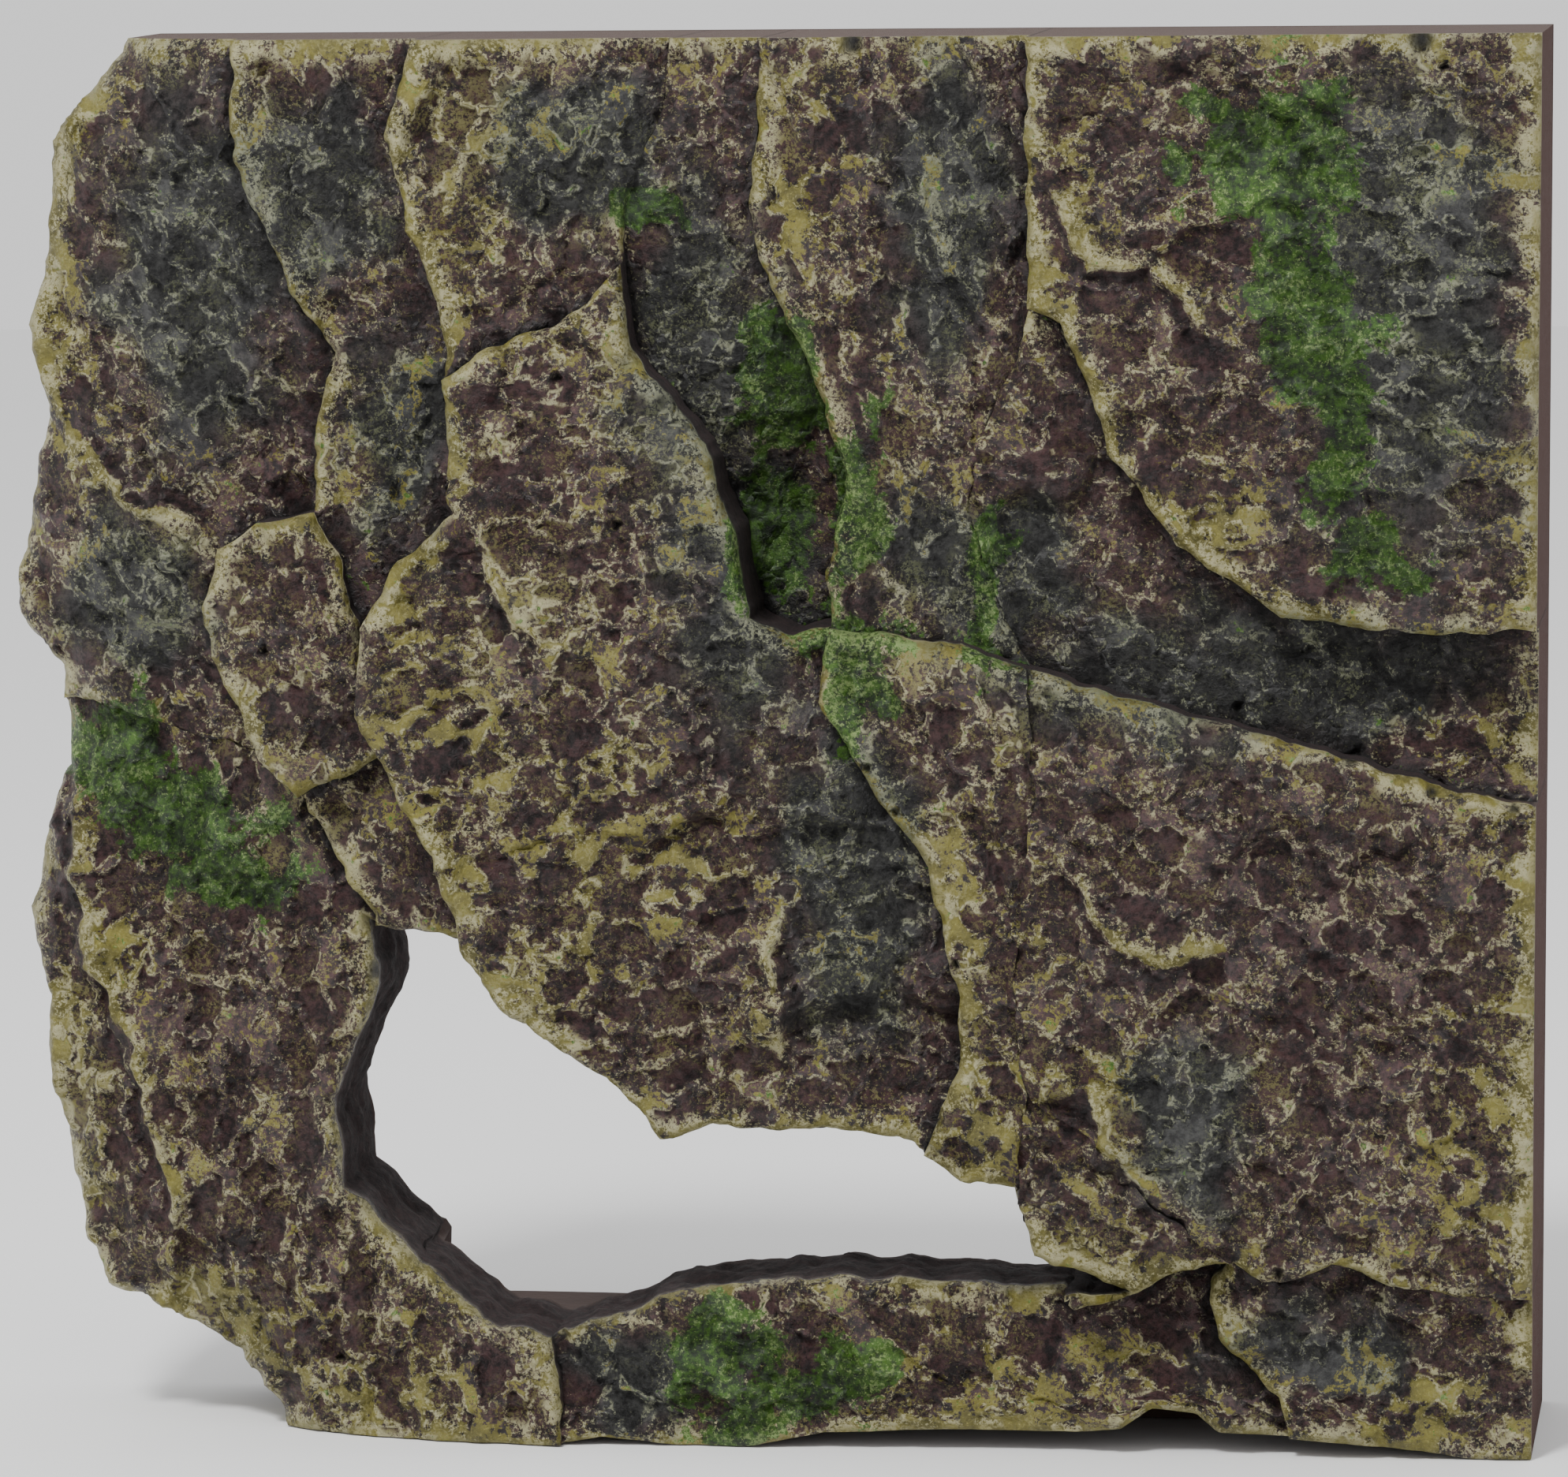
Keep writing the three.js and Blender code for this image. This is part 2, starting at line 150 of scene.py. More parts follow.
# edge: the seams around the slab. grain: degrees from +X, then how much longer than wide its marks
# are. dimples: depth of the hollows. rows: steps from front to back in its side walls.
SLABS = {
    "left_flank_slab": {
        "edge": ["flankTop", "boulderLeft", "-armTop", "topLeft"], "grain": (125, 1.5), "dimples": 0.5,
        "rows": 18,
    },
    "left_mid_slab": {
        "edge": ["crownLeft", "centralShoulder", "-boulderTop", "-flankTop"], "grain": (105, 1.5),
        "dimples": 0.5, "rows": 8,
    },
    "crown_slab": {
        "edge": ["crownRight", "-crownBottom", "-crownLeft"], "grain": (70, 1.3), "dimples": 0.6, "rows": 8,
    },
    "lobe_boulder": {
        "edge": ["boulderTop", "boulderRight", "-wedgeTop", "-boulderToe", "-boulderLeft"],
        "grain": (110, 1.3), "dimples": 0.6, "rows": 8,
    },
    "wedge_slab": {
        "edge": ["wedgeTop", "wedgeRight", "-wedgeLeft"], "grain": (150, 1.4), "dimples": 0.4, "rows": 12,
    },
    "central_slab": {
        "edge": [
            "crownBottom", "gullyLeft", "centralRight", "archFoot", "-wedgeRight", "-boulderRight",
            "-centralShoulder",
        ],
        "grain": (8, 1.5), "dimples": 0.6, "rows": 12,
    },
    "gully_bed": {
        "edge": ["gullyRight", "-gullyLeft", "-crownRight"], "grain": (60, 1.4), "dimples": 0.4, "rows": 8,
    },
    "middle_slab": {
        "edge": ["upperRightSide", "valleyLeft", "-ledge", "-gullyRight"], "grain": (110, 1.8),
        "dimples": 0.5, "rows": 8,
    },
    "lower_middle_slab": {
        "edge": ["ledge", "lowerRightSide", "lobeLeft", "-centralRight"], "grain": (120, 1.4),
        "dimples": 0.5, "rows": 12,
    },
    "upper_right_slab": {
        "edge": ["upperRightSide", "upperRightLip", "topRight"], "grain": (172, 2.2), "dimples": 0.5,
        "rows": 10,
    },
    "valley_bed": {
        "edge": ["upperRightLip", "-valleyFloor", "-valleyLeft"], "grain": (160, 1.8), "dimples": 0.3,
        "rows": 8,
    },
    "lower_right_slab": {
        "edge": ["valleyFloor", "-footTop", "-lobeTop", "-lowerRightSide"], "grain": (150, 1.5),
        "dimples": 0.5, "rows": 10,
    },
    "overhang_lobe": {
        "edge": ["lobeTop", "lobeBottom", "-lobeLeft"], "grain": (140, 1.4), "dimples": 0.5, "rows": 12,
    },
    "right_foot": {
        "edge": ["footTop", "bottomRight", "-footLeft"], "grain": (160, 1.5), "dimples": 0.5, "rows": 10,
    },
    "left_arm": {
        "edge": ["armTop", "boulderToe", "wedgeLeft", "armFoot", "bottomLeft"], "grain": (88, 1.6),
        "dimples": 0.7, "rows": 24,
    },
    "base_sill": {
        "edge": ["-lobeBottom", "footLeft", "-armFoot", "sillTop"], "grain": (150, 1.9), "dimples": 0.6,
        "rows": 20,
    },
}

# Smaller ledges on the slabs. Seen along the line from its first point, the high side is on the
# right: rise is its height there, fading over reach. On the left it drops away at once.
LEDGES = [
    {
        "line": [[-86, 20], [-83, 29], [-86, 39], [-90, 55], [-96, 65], [-98, 81], [-99, 97]],
        "rise": 3, "reach": 9,
    },
    {"line": [[61, 144], [55, 154], [51, 158], [43, 158], [39, 166], [35, 175]], "rise": 2.2, "reach": 7},
    {"line": [[33, 147], [29, 152], [23, 160], [21, 172], [17, 178]], "rise": 1.5, "reach": 5},
    {"line": [[-27, 103], [-30, 110], [-36, 117], [-39, 126]], "rise": 1.6, "reach": 6},
    {"line": [[5, 76], [1, 70], [1, 55], [3, 51]], "rise": 1.5, "reach": 6},
    {"line": [[64, 69], [57, 67], [49, 67], [45, 71], [39, 82]], "rise": 1.6, "reach": 7},
    {"line": [[58, 29], [50, 37], [43, 45], [44, 53]], "rise": 1.5, "reach": 5},
    {"line": [[-102, 146], [-96, 134], [-87, 126], [-75, 123]], "rise": 2, "reach": 8},
]

# Air bubbles left by the casting: [x, z, width].
BUBBLES = [
    [-54.9, 63.4, 2.6], [-43.3, 139.9, 1.6], [-50.2, 174.6, 1.6], [88.9, 183.9, 1.3], [61.8, 99.9, 1.5],
    [77.3, 93.9, 1.9], [87.3, 89.4, 1.5], [98.1, 86.9, 1.5], [13.1, 92.6, 1.6], [17.4, 87, 1.4],
    [-29.7, 14.2, 1.5], [67.3, 25.3, 1.7], [-60, 10, 1.2], [-5.5, 144.3, 1.4], [25.4, 66.5, 1.3],
    [-68.2, 106.7, 1.2], [-28.2, 143.8, 1.1], [-19.7, 124.7, 1.1], [11.4, 187.4, 3.0], [85.9, 187.3, 3.4],
]

# Brushed-on patches: [x, z, half width, half height]. Bare ones have little mustard, ochre ones much.
# Pale ones have more pale specks and rim lines: dry-brushing, and also painted sheen.
PATCHES = {
    "moss": [
        [68, 172, 10, 13], [71, 152, 8, 16], [76, 136, 6, 12], [80, 119, 5, 7], [59, 177, 8, 4],
        [2, 143, 6, 9], [-1, 124, 5, 10], [-15, 165, 3, 5], [12, 127, 6, 13], [10, 108, 8, 7],
        [11, 100, 5, 5], [29, 115, 3, 11], [-92, 91, 8, 8], [-82, 84, 10, 8], [-74, 76, 10, 8],
        [-7, 10, 10, 10], [8, 8, 8, 9],
    ],
    "charcoal": [
        [-80, 158, 14, 26], [-62, 168, 10, 14], [-26, 174, 12, 12], [-10, 150, 11, 22], [24, 165, 9, 24],
        [84, 150, 16, 34], [30, 118, 14, 12], [64, 104, 34, 9], [-4, 116, 10, 20], [12, 78, 10, 24],
        [-88, 112, 12, 12], [-50, 135, 8, 14], [72, 14, 14, 8], [-20, 9, 9, 9], [55, 44, 9, 12],
    ],
    "bare": [
        [-80, 156, 12, 24], [-62, 170, 9, 12], [-24, 174, 10, 12], [-8, 150, 11, 24], [24, 165, 8, 24],
        [68, 178, 16, 9], [82, 152, 9, 34], [94, 150, 6, 14], [34, 114, 14, 10], [66, 103, 32, 9],
        [-2, 112, 9, 22], [8, 92, 9, 12], [62, 84, 22, 10], [76, 74, 18, 14], [68, 56, 14, 14],
        [58, 40, 8, 10], [-60, 44, 9, 20], [-88, 112, 11, 9], [-56, 106, 5, 12], [-14, 10, 9, 9],
        [-40, 19, 8, 5], [74, 14, 10, 7],
    ],
    "ochre": [
        [-42, 160, 7, 26], [-44, 112, 10, 16], [-40, 86, 12, 14], [-22, 84, 18, 14], [-28, 64, 14, 8],
        [30, 74, 8, 16], [28, 52, 8, 14], [40, 48, 10, 12], [44, 28, 14, 8], [38, 160, 6, 18],
        [6, 172, 6, 14],
        [-98, 178, 6, 12], [-98, 140, 5, 14], [-96, 60, 6, 30], [-74, 14, 16, 7], [-46, 10, 12, 7],
        [24, 10, 12, 6], [50, 14, 12, 6], [84, 8, 16, 6], [96, 40, 6, 30], [90, 96, 12, 4], [58, 126, 8, 8],
    ],
    # Painted sheen, along with pale dry-brushing.
    "pale": [
        [-8, 140, 10, 12], [18, 112, 12, 14], [86, 155, 4, 22], [-80, 118, 10, 8], [-33, 112, 8, 12],
        [20, 78, 6, 10], [34, 100, 6, 8], [-66, 88, 12, 10], [-40, 176, 10, 10], [-96, 40, 5, 20],
    ],
}

PATCH_SEEDS = {"moss": 201, "charcoal": 211, "bare": 216, "ochre": 221, "pale": 231}

# How far the underside stands off the ground: [x, height].
UNDERSIDE = [
    [-66, 0], [-30, 0], [-24, 1], [-14, 0], [-4, 0], [6, 2], [22, 2.7], [40, 2.6], [46, 3.2], [50, 6],
    [56, 5.4], [59, 2.8], [72, 2.2], [86, 1], [92, 0], [101, 0],
]

# The dark and the light shade of each paint, as display colours from 0 to 255.
SHADES = {
    "purple": [(20, 11, 12), (80, 54, 54)],
    "slate": [(13, 12, 13), (60, 60, 58)],
    "mustard": [(82, 76, 27), (116, 109, 42)],
    "moss": [(12, 29, 1), (56, 92, 12)],
    # Walls of the mouth and of the steps: dark unbrushed paint, darkened further as painted shade.
    "wall": [(20, 10, 10), (62, 42, 42)],
    "resin": [(66, 48, 42), (88, 69, 62)],
    # The rail's bare resin, darker than the rest as painted shade behind the sill.
    "rail": [(46, 31, 27), (70, 52, 46)],
}
# Pale dry-brushing, on purple and on slate; in the pale patches it also paints sheen.
DUST_AND_SHEEN = [(122, 116, 72), (100, 103, 76)]
# Pale rims of the hollows: dry-brushing, and also painted highlight standing in for glints on sharp edges.
RIM_DUST_AND_GLINT = [(178, 172, 134), (138, 140, 116)]
# Painted shade: at the foot of steps and ledges, deep in the walls and inside.
SHADOW = (11, 8, 8)
BRIGHT_MUSTARD = (152, 146, 84)
BRIGHT_MOSS = (122, 142, 84)
# The bare resin lit on the top and shaded on the right side: painted light and painted shade.
SHADED_SIDE_RESIN = (66, 30, 18)
LIT_TOP_RESIN = (92, 76, 70)
# Painted shade inside the bubbles, darkest at their middle.
BUBBLE_SHADE = (6, 4, 4)
FLOOR_WHITE = (244, 244, 244)


# ---- noise -----------------------------------------------------------------------------------
def hash_unit(column, row, seed):
    """A repeatable number from 0 to 1 for each whole-numbered place."""
    mixed = column.astype(np.int64) * 374761393 + row.astype(np.int64) * 668265263 + seed * 974634777
    mixed &= 0xFFFFFFFF
    mixed = ((mixed ^ (mixed >> 13)) * 1274126177) & 0xFFFFFFFF
    return ((mixed ^ (mixed >> 16)) & 0xFFFFFF) / 0x1000000


def soft_noise(places, size, seed):
    """Gradient noise between about -1 and 1, with bumps about `size` across."""
    scaled = places / size
    corner = np.floor(scaled)
    part = scaled - corner
    fade = part**3 * (part * (part * 6 - 15) + 10)
    total = np.zeros(len(places))
    for step_x in (0, 1):
        for step_z in (0, 1):
            angle = hash_unit(corner[:, 0] + step_x, corner[:, 1] + step_z, seed) * math.tau
            slope = np.cos(angle) * (part[:, 0] - step_x) + np.sin(angle) * (part[:, 1] - step_z)
            weight = np.abs(1 - step_x - fade[:, 0]) * np.abs(1 - step_z - fade[:, 1])
            total += weight * slope
    return total * 1.5


def fractal(places, size, octaves, seed):
    """Soft noise with finer and finer layers on top."""
    layers = [soft_noise(places, size / 2**i, seed + i) / 2**i for i in range(octaves)]
    return np.sum(layers, axis=0)


def cobbles(places, size, seed):
    """Cells about `size` across.

    Gives each place's distance from a border, a number from 0 to 1 for its cell, and the way to the
    place from the cell's middle. Both distances are in cell sizes.
    """
    scaled = places / size
    home = np.floor(scaled)
    first = np.full(len(places), 9.0)
    second = np.full(len(places), 9.0)
    number = np.zeros(len(places))
    way = np.zeros(places.shape)
    for step_x in (-1, 0, 1):
        for step_z in (-1, 0, 1):
            column = home[:, 0] + step_x
            row = home[:, 1] + step_z
            across = column + 0.5 + 0.8 * (hash_unit(column, row, seed) - 0.5) - scaled[:, 0]
            up = row + 0.5 + 0.8 * (hash_unit(column, row, seed + 1) - 0.5) - scaled[:, 1]
            gap = np.hypot(across, up)
            nearer = gap < first
            second = np.where(nearer, first, np.minimum(second, gap))
            number = np.where(nearer, hash_unit(column, row, seed + 2), number)
            way = np.where(nearer[:, None], -np.stack([across, up], axis=1), way)
            first = np.where(nearer, gap, first)
    return second - first, number, way


def along_grain(places, degrees, stretch):
    """Places turned so that noise on them runs along the grain."""
    angle = math.radians(degrees)
    along = places[:, 0] * math.cos(angle) + places[:, 1] * math.sin(angle)
    across = places[:, 1] * math.cos(angle) - places[:, 0] * math.sin(angle)
    return np.stack([along / stretch, across], axis=1)


def smoothstep(low, high, value):
    """A soft step from 0 at low to 1 at high."""
    share = np.clip((value - low) / (high - low), 0, 1)
    return share * share * (3 - 2 * share)


def patches(places, spots, seed):
    """How strongly each place lies in one of the ragged-edged spots, from 0 to 1."""
    ragged = places + 5 * np.stack([fractal(places, 12, 4, seed), fractal(places, 12, 4, seed + 9)], axis=1)
    strength = np.zeros(len(places))
    for x, z, half_width, half_height in spots:
        out = np.hypot((ragged[:, 0] - x) / half_width, (ragged[:, 1] - z) / half_height)
        strength = np.maximum(strength, 1 - smoothstep(0.3, 1.45, out))
    return strength


# ---- plane geometry --------------------------------------------------------------------------
def ring(edge):
    """The closed outline of a slab, from the seams around it; a leading - reverses a seam."""
    points = []
    for key in edge:
        name = key.strip("-")
        run = [FAR[name]] if name in FAR else SEAMS[name]
        points += run[::-1] if key.startswith("-") else run
    return [p for p, after in zip(points, points[1:] + points[:1]) if p != after]


def inset(points, distance):
    """Every side of a closed outline moved inwards, or outwards where distance is negative."""
    corners = np.array(points, float)
    ahead = np.roll(corners, -1, axis=0)
    side = np.sign(np.sum(corners[:, 0] * ahead[:, 1] - ahead[:, 0] * corners[:, 1]))
    out = ahead - corners
    out /= np.linalg.norm(out, axis=1, keepdims=True)
    into = np.roll(out, 1, axis=0)
    inward = np.stack([-into[:, 1] - out[:, 1], into[:, 0] + out[:, 0]], axis=1)
    return corners + inward * (2 * side * distance) / np.sum(inward**2, axis=1, keepdims=True)


def inside(places, outline):
    """Which places lie in a closed outline."""
    corners = np.array(outline, float)
    found = np.zeros(len(places), bool)
    for (ax, az), (bx, bz) in zip(corners, np.roll(corners, -1, axis=0)):
        if az == bz:
            continue
        crosses = (az > places[:, 1]) != (bz > places[:, 1])
        at = ax + (places[:, 1] - az) * (bx - ax) / (bz - az)
        found ^= crosses & (places[:, 0] < at)
    return found


def divided(points, spacing, closed):
    """Points along a line, no further apart than spacing."""
    corners = np.array(points, float)
    ends = np.roll(corners, -1, axis=0) if closed else corners[1:]
    run = []
    for start, end in zip(corners, ends):
        count = max(1, math.ceil(np.linalg.norm(end - start) / spacing))
        run += [start + (end - start) * i / count for i in range(count)]
    return np.array(run if closed else run + [corners[-1]])


def grid_points(spacing, seed):
    """Staggered points over the whole ornament, each moved a little so that no rows show."""
    across = np.arange(-108, RIGHT + 2, spacing)
    up = np.arange(-2, HEIGHT + 2, spacing * 0.87)
    x, z = np.meshgrid(across, up)
    x[1::2] += spacing / 2
    places = np.stack([x.ravel(), z.ravel()], axis=1)
    whole = np.floor(places / spacing * 4)
    jitter = np.stack([hash_unit(whole[:, 0], whole[:, 1], seed + i) - 0.5 for i in (0, 1)], axis=1)
    return places + jitter * spacing * 0.4


def nearest_of(targets, places):
    """For each place, the number of the nearest target and the distance to it."""
    tree = KDTree(len(targets))
    for i, (x, z) in enumerate(targets):
        tree.insert((x, z, 0), i)
    tree.balance()
    found = [tree.find((x, z, 0)) for x, z in places]
    return [number for _, number, _ in found], np.array([distance for _, _, distance in found])


def away_from(places, lines, distance):
    """The places that are further than distance from every point of the lines."""
    return places[nearest_of(lines, places)[1] > distance]


def beside_line(places, line):
    """Distance to a line, whether each place is on its right, and how far along the line it is."""
    corners = np.array(line, float)
    nearest = np.full(len(places), 1e9)
    right = np.zeros(len(places), bool)
    along = np.zeros(len(places))
    total = np.linalg.norm(np.diff(corners, axis=0), axis=1).sum()
    done = 0.0
    for start, end in zip(corners, corners[1:]):
        reach = end - start
        length = np.linalg.norm(reach)
        t = np.clip((places - start) @ reach / length**2, 0, 1)
        offset = places - start - t[:, None] * reach
        gap = np.linalg.norm(offset, axis=1)
        closer = gap < nearest
        turned = reach[0] * offset[:, 1] - reach[1] * offset[:, 0]
        right = np.where(closer, turned < 0, right)
        along = np.where(closer, (done + t * length) / total, along)
        nearest = np.where(closer, gap, nearest)
        done += length
    return nearest, right, along


def straight_edge_distance(places):
    """Distance to the flat top, right side and bottom."""
    right_side = RIGHT - RIGHT_LEAN + RIGHT_LEAN * places[:, 1] / HEIGHT
    return np.minimum.reduce([HEIGHT - places[:, 1], places[:, 1], right_side - places[:, 0]])


def roughened(places):
    """Places shifted along the face so that seams and outlines wander; the flat edges stay."""
    shift = WANDER * np.stack([fractal(places, 6, 3, 31), fractal(places, 6, 3, 47)], axis=1)
    moved = places + shift * smoothstep(0, 4, straight_edge_distance(places))[:, None]
    stations, heights = np.array(UNDERSIDE, float).T
    moved[:, 1] += np.interp(places[:, 0], stations, heights) * smoothstep(UNDERSIDE_REACH, 0, places[:, 1])
    return moved


# ---- the plan: one triangulated sheet, shared by all the slabs ---------------------------------
def triangulated(lines, loops, loose):
    """Triangles over all the points, with every line and loop kept as edges."""
    points = []
    edges = []
    for run, closed in [(line, False) for line in lines] + [(loop, True) for loop in loops]:
        first = len(points)
        points += [Vector(p) for p in run]
        count = len(run)
        edges += [(first + i, first + i + 1) for i in range(count - 1)]
        if closed:
            edges.append((first + count - 1, first))
    points += [Vector(p) for p in loose]
    places, _, faces, *_ = delaunay_2d_cdt(points, edges, [], 0, 1e-4)
    return np.array(places), np.array([f for f in faces if len(f) == 3])


def counter_clockwise(places, faces):
    """The triangles, all turned one way, without those that have no area."""
    a, b, c = places[faces[:, 0]], places[faces[:, 1]], places[faces[:, 2]]
    area = (b[:, 0] - a[:, 0]) * (c[:, 1] - a[:, 1]) - (c[:, 0] - a[:, 0]) * (b[:, 1] - a[:, 1])
    turned = faces.copy()
    turned[area < 0] = faces[area < 0][:, ::-1]
    return turned[np.abs(area) > 1e-7]


def make_plan():
    """Every point of the rock face, and the triangles that belong to each slab."""
    lines = [divided(run, SPACING, False) for run in SEAMS.values()]
    loops = [divided(OUTLINE, SPACING, True), divided(MOUTH, SPACING, True)]
    drawn = np.concatenate(lines + loops)
    loose = away_from(grid_points(SPACING, 5), drawn, SPACING * 0.5)
    loose = loose[inside(loose, OUTLINE) & ~inside(loose, MOUTH)]
    places, faces = triangulated(lines, loops, loose)
    faces = counter_clockwise(places, faces)
    middles = places[faces].mean(axis=1)
    solid = inside(middles, OUTLINE) & ~inside(middles, MOUTH)
    owners = {name: faces[solid & inside(middles, ring(slab["edge"]))] for name, slab in SLABS.items()}
    return places, owners


def border_of(faces):
    """The edges that only one triangle has, each with its triangle on the left."""
    edges = np.concatenate([faces[:, [0, 1]], faces[:, [1, 2]], faces[:, [2, 0]]])
    seen = set(map(tuple, edges))
    return np.array([edge for edge in map(tuple, edges) if edge[::-1] not in seen])


# ---- heights from the frame ------------------------------------------------------------------
def drawn_in(places, faces):
    """Each place, moved a little inwards if it is on the border of its slab."""
    middles = places[faces].mean(axis=1)
    total = np.zeros(places.shape)
    count = np.zeros(len(places))
    for corner in range(3):
        np.add.at(total, faces[:, corner], middles)
        np.add.at(count, faces[:, corner], 1)
    inward = total / np.maximum(count, 1)[:, None] - places
    inward /= np.maximum(np.linalg.norm(inward, axis=1), 1e-9)[:, None]
    moved = places.copy()
    border = np.unique(border_of(faces))
    moved[border] += BORDER_STEP * inward[border]
    return moved


def frame_relief(node, places, from_front):
    """How far the frame's slab reaches in front of the back plane at each place."""
    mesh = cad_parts[node].data
    corners = [v.co.copy() for v in mesh.vertices]
    tree = BVHTree.FromPolygons(corners, [tuple(p.vertices) for p in mesh.polygons])
    way = Vector((0, 1, 0)) if from_front else Vector((0, -1, 0))
    relief = np.full(len(places), np.nan)
    for i, (x, z) in enumerate(places):
        start = Vector(((x + SHIFT_X) * MM, -way.y, z * MM))
        hit = tree.ray_cast(start, way)[0]
        if hit is not None:
            relief[i] = BACK_Y - hit.y / MM
    return filled_in(places, relief)


def filled_in(places, values):
    """Values with each gap taken from the nearest place that has one."""
    known = np.flatnonzero(~np.isnan(values))
    gaps = np.flatnonzero(np.isnan(values))
    nearest, _ = nearest_of(places[known], places[gaps])
    values[gaps] = values[known[nearest]]
    return values


# ---- weathering ------------------------------------------------------------------------------
def ledge_relief(places):
    """What the smaller ledges add, and how close each place is to a ledge's crest and to its foot, for
    painted shade.
    """
    wander = places + 1.2 * np.stack([fractal(places, 6, 3, 61), fractal(places, 6, 3, 71)], axis=1)
    added = np.zeros(len(places))
    crest = np.zeros(len(places))
    foot = np.zeros(len(places))
    for ledge in LEDGES:
        gap, right, along = beside_line(wander, ledge["line"])
        taper = smoothstep(0, 0.2, along) * smoothstep(1, 0.8, along)
        high = np.where(right, np.exp(-gap / ledge["reach"]), np.exp(-gap / 0.9))
        added += ledge["rise"] * taper * high
        crest = np.maximum(crest, taper * np.where(right, np.exp(-gap / 1.6), np.exp(-gap / 0.5)))
        # Just below a ledge, where shade is painted.
        below = smoothstep(4, 1, gap) * smoothstep(0.2, 1, gap)
        foot = np.maximum(foot, taper * np.where(right, 0, below))
    return added, crest, foot


def dimple_relief(places, grain, depth):
    """Hollows between raised webs at two sizes, and how far each place is up on a web."""
    bent = places + 0.9 * np.stack([fractal(places, 2.6, 3, 11), fractal(places, 2.6, 3, 21)], axis=1)
    lined = along_grain(bent, *grain)
    crowd = 0.3 * fractal(places, 16, 2, 91)
    wide_gap, wide_cell, _ = cobbles(lined, 4.6, 3)
    small_gap, small_cell, _ = cobbles(lined, 2.3, 8)
    wide = smoothstep(0.06, 0.26, wide_gap) * smoothstep(0.38, 0.46, wide_cell + crowd)
    small = smoothstep(0.08, 0.34, small_gap) * smoothstep(0.2, 0.3, small_cell + crowd)
    small *= 1 - wide
    hollow = np.maximum(wide, 0.85 * small)
    grains = hash_unit(np.floor(places[:, 0] * 9), np.floor(places[:, 1] * 9), 95) - 0.5
    relief = -depth * (1.5 * wide + 0.85 * small) + (0.06 + 0.2 * hollow) * grains
    relief += 0.14 * fractal(bent, 1.9, 2, 97)
    return relief, 1 - hollow


def facet_relief(places, grain):
    """Chipped planes, each tilted its own way."""
    bent = places + 2.2 * np.stack([fractal(places, 9, 4, 141), fractal(places, 9, 4, 145)], axis=1)
    relief = np.zeros(len(places))
    for size, lean, seed in ((21, 1.9, 41), (9.5, 1.0, 51)):
        gap, number, way = cobbles(along_grain(bent, *grain), size, seed)
        turn = number * 40
        tilt = way[:, 0] * np.cos(turn) + way[:, 1] * np.sin(turn)
        relief += lean * tilt * smoothstep(0, 0.1, gap)
    return relief


def swell_relief(places, grain):
    """Broad swells, chipped planes, and folds that run with the grain."""
    broad = fractal(places, 38, 2, 101)
    folds = 1 - 2 * np.abs(fractal(along_grain(places, *grain), 8, 4, 111))
    return broad + 0.5 * folds + facet_relief(places, grain)


def bubble_relief(places):
    """Round pits, and how deep in one each place is, from 0 to 1."""
    pit = np.zeros(len(places))
    for x, z, width in BUBBLES:
        out = np.hypot(places[:, 0] - x, places[:, 1] - z) / (width / 2)
        pit = np.maximum(pit, np.sqrt(np.clip(1 - out**2, 0, 1)))
    return -1.6 * pit, pit


def rounded_edge(gap, radius):
    """How far a rounded edge has dropped at a distance from it."""
    reach = np.clip(radius - gap, 0, radius)
    return radius - np.sqrt(np.maximum(radius**2 - reach**2, 0))


def weather(places, base, border_gap, border_step, slab):
    """The finished relief of a slab's face, and what its paint depends on.

    border_gap is the distance to the slab's border, and border_step how far the slab stands above
    its neighbour there. Paint depends on "web", how far up on a web a place is; on a value that is
    high at edges that stick out, where mustard is dry-brushed, and low at the foot of a step or ledge,
    where it paints shade; and on "pit", how deep in a bubble, which is also painted in shade.
    """
    grain = slab["grain"]
    ledges, crest, foot = ledge_relief(places)
    dimples, web = dimple_relief(places, grain, slab["dimples"])
    pits, pit = bubble_relief(places)
    radius = np.clip(border_step * 0.5, 0, 1.9) * (1 + 0.6 * fractal(places, 5, 2, 131))
    edge_drop = rounded_edge(border_gap, np.maximum(radius, 0.01))
    high_edge = smoothstep(0.6, 3.0, border_step) * np.exp(-border_gap / 2.4)
    # Painted shade along the border where this slab lies below its neighbour.
    low_edge_shade = smoothstep(-0.8, -4, border_step) * np.exp(-border_gap / 3.0)
    broken = 0.4 + 0.6 * smoothstep(-0.45, 0.15, fractal(places, 8, 4, 161))
    brushed = np.maximum(high_edge, crest) * broken
    worn = np.clip(1.2 * brushed, 0, 0.85)
    flat_rim = smoothstep(0, 1.5, straight_edge_distance(places))
    rough = swell_relief(places, grain) + dimples * (1 - worn)
    relief = base + ledges + rough * (0.35 + 0.65 * flat_rim) + pits
    relief -= edge_drop * (0.3 + 0.7 * flat_rim)
    # High where mustard is dry-brushed on edges, low where shade is painted below steps and ledges.
    brushing_and_shade = brushed - 1.2 * np.maximum(low_edge_shade, 0.8 * foot)
    return {"relief": relief, "web": np.maximum(web, worn), "brushing_and_shade": brushing_and_shade, "pit": pit}


# ---- meshes ----------------------------------------------------------------------------------
def with_draft(places, relief):
    """The top face and the right side lean out towards the back."""
    back = 1 - relief / DRAFT_DEPTH
    moved = places.copy()
    moved[:, 1] += TOP_DRAFT * back * (places[:, 1] > HEIGHT - 1)
    moved[:, 0] += RIGHT_DRAFT * back * (places[:, 0] > RIGHT - 2)
    return moved


def to_frame(places, relief):
    """Points of the frame, in metres."""
    drafted = with_draft(places, relief)
    return np.stack([drafted[:, 0] + SHIFT_X, BACK_Y - relief, drafted[:, 1]], axis=1) * MM


